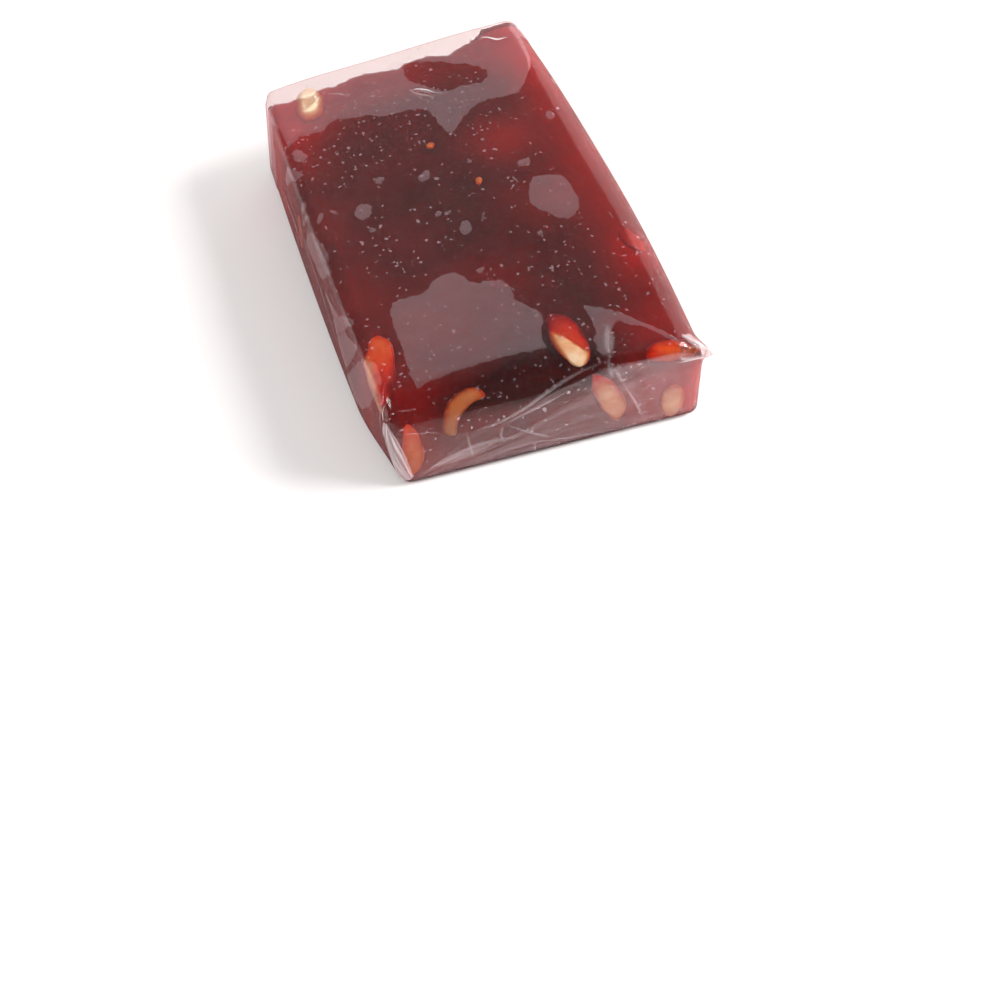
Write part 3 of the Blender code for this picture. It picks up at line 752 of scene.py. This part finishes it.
folded = film_material("folded_film", 0.34, 0.30, streaks=True, soft=True)
floor_line = ((-36.0, 0.5), (36.0, 0.5))
lay_sheet("front_flap", floor_line, FRONT_FLAP_EDGE, 2)
lay_sheet("front_lap", floor_line, FRONT_LAP_EDGE, 3)
lay_sheet("back_flap", floor_line, ((-36, 1.0), (0, 21.5), (36, 1.0)), 2, end=1)

# ---------------------------------------------
# The tucks, the ear and the creases
# Where the film is gathered it stands off in narrow pleats, which catch the light as bright
# lines, helped by a painted highlight in their white. At the front right corner the spare film
# is pinched into a small stiff ear.

CREASE_LIFT = 0.06 * MM
film_face = face_of(film)
creased = film_material("creased_film", 1.5, 0.45, streaks=True, soft=True)
gathered = film_material("gathered_film", 0.34, 0.40, streaks=True, soft=True)
pinched = film_material("pinched_film", 2.6, 0.60, streaks=True)
sharp = film_material("sharp_fold", 7.0, 0.90, soft=True)


def along(line, u):
    """Places along a line through the given points (mm), u from 0 to 1 of its length."""
    points = np.array(line, float) * MM
    steps = np.linalg.norm(np.diff(points, axis=0), axis=1)
    marks = np.concatenate(((0,), np.cumsum(steps))) / steps.sum()
    wide = 0.5 / len(points)
    spans = [np.clip(u + shift * wide, 0, 1) for shift in (-0.6, -0.3, 0, 0.3, 0.6)]
    return np.mean([[np.interp(span, marks, points[:, k]) for k in range(3)]
                    for span in spans], axis=0).T


def lay_between(name, line_a, line_b, lift, bow, material, cells=(60, 8)):
    """A piece of film on the wrap between two lines, lifted in a bow across its width."""
    sheet = add_shape(name, bpy.ops.mesh.primitive_grid_add, x_subdivisions=cells[0],
                      y_subdivisions=cells[1], size=2)
    u, v = ((points_of(sheet)[:, :2] + 1) / 2).T
    flat = along(line_a, u) * (1 - v)[:, None] + along(line_b, u) * v[:, None]
    rise = lift + bow * np.sin(np.pi * v) * np.sin(np.pi * np.clip(u, 0.02, 0.98)) ** 0.5
    places = []
    for point, height in zip(flat, rise):
        near, normal, _, _ = film_face.find_nearest(Vector(point))
        places.append(near + normal * height)
    set_points(sheet, places)
    carry(sheet, "fan", v * 0.6)
    # A pleat fades out at its edges and ends, and the gathered sheet at its foot
    edges = (np.sin(np.pi * v) * np.sin(np.pi * np.clip(u, 0, 1)) ** 0.5) ** 1.5
    foot = smooth_step(FOOT_LOW, FOOT_HIGH, points_of(sheet)[:, 2])
    carry(sheet, "fade", foot if material is gathered else edges)
    sheet.data.materials.append(material)
    return sheet


def crease(line, width, height, material):
    """A narrow pleat along a line, thinner towards its ends, all in mm."""
    marks = np.linspace(0, 1, 41)
    middle = along(line, marks)
    way = np.gradient(middle, axis=0)
    sides = []
    for point, step, mark in zip(middle, way, marks):
        _, normal, _, _ = film_face.find_nearest(Vector(point))
        side = normal.cross(Vector(step)).normalized()
        sides.append(np.array(side) * width * MM * (0.2 + 0.8 * math.sin(math.pi * mark)) / 2)
    low, high = (middle - sides) / MM, (middle + sides) / MM
    return lay_between("crease", low, high, CREASE_LIFT, height * MM, material, (40, 6))


# Each pleat's line of (x, y, z), its width and its height, all in mm
CREASES = (
    # the right tuck's edge, and its run up onto the top face
    (((14.5, -55.4, 25.2), (15.7, -57.4, 22.5), (17.8, -58.3, 16.9)), 1.2, 0.12),
    (((16.8, -57.8, 19.5), (18.6, -58.5, 15.0), (20.4, -58.9, 10.5), (22.1, -59.4, 5.5),
      (22.6, -59.6, 2.0)), 1.1, 0.25),
    (((17.9, -45.6, 26.3), (16.5, -49.6, 26.3), (15.4, -52.4, 26.2), (14.4, -55.4, 25.4)),
     3.4, 0.02),
    (((14.4, -54.4, 26.0), (14.2, -56.0, 24.0), (14.8, -57.0, 21.0)), 1.6, 0.10),
    # the edges of the front flap and its lap
    (((-18.5, -55.3, 14.8), (-12.8, -55.8, 15.0), (-8.0, -55.9, 17.0), (-1.9, -55.5, 20.3),
      (3.0, -55.0, 22.4), (7.8, -54.7, 24.1), (14.7, -54.9, 25.7)), 1.4, 0.06),
    (((-11.5, -56.1, 14.2), (-5.5, -56.4, 16.6), (0.4, -56.5, 18.8), (6.0, -56.5, 20.9)),
     1.3, 0.10),
    (((-32.8, -56.0, 2.8), (-28.9, -55.7, 4.5), (-23.9, -55.7, 7.6), (-16.7, -56.2, 9.7),
      (-9.8, -56.9, 9.4), (-5.1, -57.3, 8.9)), 2.6, 0.16),
    (((-30.0, -55.7, 5.4), (-22.0, -56.2, 6.6), (-12.0, -56.8, 8.6)), 3.4, 0.06),
    (((-35.0, -52.5, 19.6), (-30.0, -54.3, 18.8), (-24.1, -54.9, 17.0)), 0.5, 0.04),
    # small folds in the flap
    (((-19.3, -55.0, 16.0), (-18.9, -55.8, 11.3), (-18.1, -56.4, 3.2)), 0.9, 0.08),
    (((-10.7, -56.0, 14.7), (-11.5, -56.5, 11.3), (-11.0, -56.7, 8.5), (-9.9, -56.9, 6.9)),
     1.0, 0.25),
    (((-10.5, -56.0, 14.7), (-5.0, -57.1, 9.5), (3.2, -58.2, 3.6)), 1.0, 0.16),
    (((-14.0, -56.6, 4.6), (-4.0, -57.6, 5.6), (4.0, -58.2, 3.8), (14.0, -59.0, 3.0),
      (22.5, -59.8, 1.9)), 0.9, 0.12),
    # round the front left corner
    (((-32.8, -42.4, 26.3), (-34.0, -44.8, 25.6), (-34.8, -46.8, 24.8), (-35.9, -46.0, 20.0),
      (-36.2, -44.9, 16.3), (-36.6, -44.6, 11.5), (-36.8, -44.8, 7.4)), 0.8, 0.20),
    (((-36.8, -44.6, 7.0), (-36.5, -46.3, 7.2), (-36.2, -47.8, 10.0), (-35.9, -49.0, 13.2),
      (-35.7, -49.4, 18.0), (-35.5, -49.5, 21.8)), 0.8, 0.20),
    (((-33.6, -50.0, 24.3), (-31.2, -50.6, 24.0), (-28.6, -50.9, 23.7)), 0.4, 0.04),
    # the ear's wrinkles
    (((31.2, -55.0, 25.8), (32.6, -56.8, 25.6), (34.5, -58.7, 24.9), (36.6, -60.6, 24.3)),
     1.0, 0.25),
    (((33.2, -55.4, 25.4), (34.8, -57.6, 25.2), (36.9, -60.2, 25.0)), 0.8, 0.25),
    (((30.8, -59.4, 21.9), (33.4, -59.9, 21.8), (35.6, -60.5, 22.6), (37.4, -61.4, 23.8)),
     1.0, 0.25),
    # the back contact window and the back right corner
    (((-0.3, 43.0, 26.3), (0.3, 40.7, 26.3), (1.7, 39.3, 26.3), (3.5, 38.2, 26.3),
      (5.2, 36.7, 26.3)), 1.3, 0.20),
    (((1.1, 43.2, 26.3), (2.2, 40.7, 26.3), (4.0, 39.6, 26.3), (7.9, 37.2, 26.3)), 1.2, 0.16),
    (((-20.3, 48.6, 26.2), (-17.4, 47.8, 26.2), (-15.2, 45.6, 26.2)), 1.0, 0.18),
    (((20.0, 54.5, 26.2), (23.4, 54.8, 26.2), (26.7, 52.2, 26.2), (30.2, 51.8, 26.0)),
     0.8, 0.16),
    # the long left face
    (((-38.4, 47.4, 6.0), (-38.2, 34.9, 9.7), (-38.4, 24.0, 10.2), (-38.6, 13.1, 9.3)),
     0.9, 0.16),
    (((-37.0, 38.0, 17.6), (-37.3, 33.9, 16.9), (-37.7, 27.1, 14.7), (-37.9, 17.2, 14.5),
      (-38.1, 8.1, 13.0), (-38.3, -1.9, 11.6), (-38.6, -10.2, 9.6), (-38.9, -15.9, 6.8),
      (-39.0, -24.0, 4.0)), 0.8, 0.14),
)
# Sharp folds, where several layers meet, in near-white film whose white is partly a painted
# highlight, in the same way
SHARP_FOLDS = (
    # along the ear's lower and upper edge, and its blunt tip
    (((28.6, -59.2, 21.4), (31.6, -60.0, 21.4), (34.6, -61.0, 22.0), (37.6, -62.2, 23.6)),
     0.9, 0.30),
    (((31.9, -53.6, 25.9), (33.0, -55.6, 25.7), (34.4, -57.2, 25.5), (36.4, -59.0, 25.4),
      (38.4, -61.2, 25.2)), 1.2, 0.35),
    # the double edge of the strip at the front left corner
    (((-34.4, -47.6, 24.6), (-35.2, -47.8, 21.5), (-35.9, -46.9, 17.0)), 0.35, 0.20),
    (((-35.9, -46.9, 17.0), (-36.2, -46.2, 13.0), (-36.4, -46.0, 9.4)), 0.40, 0.20),
    (((-35.6, -49.6, 20.4), (-35.7, -48.6, 15.0), (-36.0, -47.6, 10.0)), 0.35, 0.20),
    (((-36.2, -47.4, 8.0), (-35.4, -51.0, 4.4), (-34.4, -54.6, 1.6)), 0.5, 0.20),
    # over the torn edge at the back right, and by the contact window
    (((22.6, 53.9, 26.2), (25.0, 53.8, 26.2), (27.1, 51.7, 26.2), (30.7, 51.7, 26.0)),
     0.8, 0.10),
    (((-0.4, 41.8, 26.3), (2.0, 41.6, 26.3), (4.0, 40.4, 26.3), (5.8, 38.5, 26.3)), 0.5, 0.10),
)
pleats = [crease(*facts, creased) for facts in CREASES]
pleats += [crease(*facts, sharp) for facts in SHARP_FOLDS]
bpy.ops.object.select_all(action="DESELECT")
for pleat in pleats:
    pleat.select_set(True)
bpy.context.view_layer.objects.active = pleats[0]
bpy.ops.object.join()
pleats[0].name = pleats[0].data.name = "film_creases"
hold(pleats[0])

# The gathered strip on the front left corner, and the tucked layer at the right of the front
hold(lay_between("corner_strip", ((-35.9, -46.8, 17.5), (-36.3, -46.2, 10.5),
                                  (-36.1, -49.4, 4.6), (-34.8, -53.4, 1.6)),
                 ((-35.4, -50.2, 21.4), (-34.8, -52.8, 18.4), (-33.7, -54.9, 12.0),
                  (-32.6, -56.0, 3.4)), 0.15 * MM, 0.45 * MM, pinched))
hold(lay_between("right_tuck", ((14.9, -56.4, 25.0), (17.8, -58.3, 16.9), (20.4, -58.9, 10.5),
                                (23.0, -59.7, 1.0)),
                 ((33.5, -59.2, 24.6), (35.2, -60.2, 17.0), (35.6, -60.6, 10.0),
                  (35.8, -60.8, 1.0)), 0.20 * MM, 0.10 * MM, gathered, (60, 30)))
# The ear's two pinched layers
hold(lay_between("ear_upper", ((31.6, -54.6, 25.6), (33.0, -57.0, 25.4), (35.2, -59.3, 25.2),
                               (38.6, -61.8, 25.2)),
                 ((34.0, -54.2, 24.6), (35.0, -56.6, 24.8), (36.6, -58.9, 25.0),
                  (38.8, -61.6, 25.2)), 0.15 * MM, 0.40 * MM, pinched, (40, 10)))
hold(lay_between("ear_lower", ((29.6, -58.8, 23.4), (31.8, -59.4, 22.6), (34.6, -60.2, 22.8),
                               (38.2, -61.8, 24.4)),
                 ((30.4, -59.1, 22.0), (32.4, -59.9, 21.2), (35.0, -60.9, 22.0),
                  (38.4, -61.9, 24.2)), 0.15 * MM, 0.40 * MM, pinched, (40, 8)))
# The sheet's lapped seam, under the block
hold(lay_between("seam_lap", ((-3.0, -44.0, 0.0), (-3.0, 46.0, 0.0)),
                 ((6.0, -44.0, 0.0), (6.0, 46.0, 0.0)), 0.12 * MM, 0.02 * MM, folded, (90, 10)))

# ---------------------------------------------
# The table, the light and the camera
# A plain table with a matt white laminate top, in a white light tent that is bright above and
# behind and darker at the front, with three soft lamps. The camera is fitted to the photo.

table = add_shape("table", bpy.ops.mesh.primitive_plane_add, size=6,
                  location=(0, 0, -0.05 * MM))
laminate, tree = new_material("white_laminate")
body = add_node(tree, "ShaderNodeBsdfPrincipled", {
    "Base Color": from_hex("#f7f5f4"), "Roughness": 0.6, "Specular IOR Level": 0.2})
add_node(tree, "ShaderNodeOutputMaterial", {"Surface": body})
table.data.materials.append(laminate)

world = bpy.data.worlds.new("light_tent")
bpy.context.scene.world = world
world.use_nodes = True
tree = world.node_tree
tree.nodes.clear()
way = add_node(tree, "ShaderNodeTexCoord").outputs["Generated"]
toward = add_node(tree, "ShaderNodeVectorMath", {
    0: way, 1: (0.10, 0.90, 0.42)}, operation="DOT_PRODUCT")
facing = add_node(tree, "ShaderNodeMapRange", {
    "Value": toward.outputs["Value"], "From Min": -1.0, "From Max": 1.0})
tent = add_node(tree, "ShaderNodeValToRGB", {"Fac": facing})
tent.color_ramp.elements[0].color = (0.36, 0.36, 0.36, 1)
tent.color_ramp.elements[1].color = (0.75, 0.75, 0.75, 1)
for place, light in ((0.57, 0.30), (0.80, 0.48), (0.93, 0.62), (0.965, 0.75)):
    tent.color_ramp.elements.new(place).color = (light, light, light, 1)
back = add_node(tree, "ShaderNodeBackground", {"Color": tent.outputs["Color"], "Strength": 1.0})
add_node(tree, "ShaderNodeOutputWorld", {"Surface": back})

# Square lamp panels that face the block: place, size and power
for name, place, size, power in (
        ("lamp_left", (-0.85, -0.20, 0.70), 0.5, 7.0),
        ("lamp_right", (0.85, -0.25, 0.60), 0.5, 16.0),
        ("lamp_back_right", (0.85, 0.50, 0.28), 0.8, 2.4)):
    bpy.ops.object.light_add(type="AREA", location=place)
    lamp = bpy.context.object
    lamp.name = name
    to_block = Vector((0, 0, 10 * MM)) - Vector(place)
    lamp.rotation_euler = to_block.to_track_quat("-Z", "Y").to_euler()
    lamp.data.size, lamp.data.energy = size, power

bpy.ops.object.camera_add(location=(-0.055742, -0.198215, 0.237161))
camera = bpy.context.object
camera.name = "camera"
# Fitted, with its place and its lens, to the block's six visible corners
aim = Matrix(((0.939193, 0.310770, -0.146074), (-0.341845, 0.805873, -0.483435),
              (-0.032520, 0.503974, 0.863106)))
camera.rotation_euler = aim.to_euler()
camera.data.sensor_width = 36
camera.data.lens = 43.2
camera.data.clip_start = 0.01
bpy.context.scene.camera = camera
bpy.context.scene.view_settings.view_transform = "Standard"
# Enough for light to pass through all the layers of film and the jelly
bpy.context.scene.cycles.transparent_max_bounces = 32
bpy.context.scene.cycles.transmission_bounces = 16
bpy.context.scene.cycles.max_bounces = 20
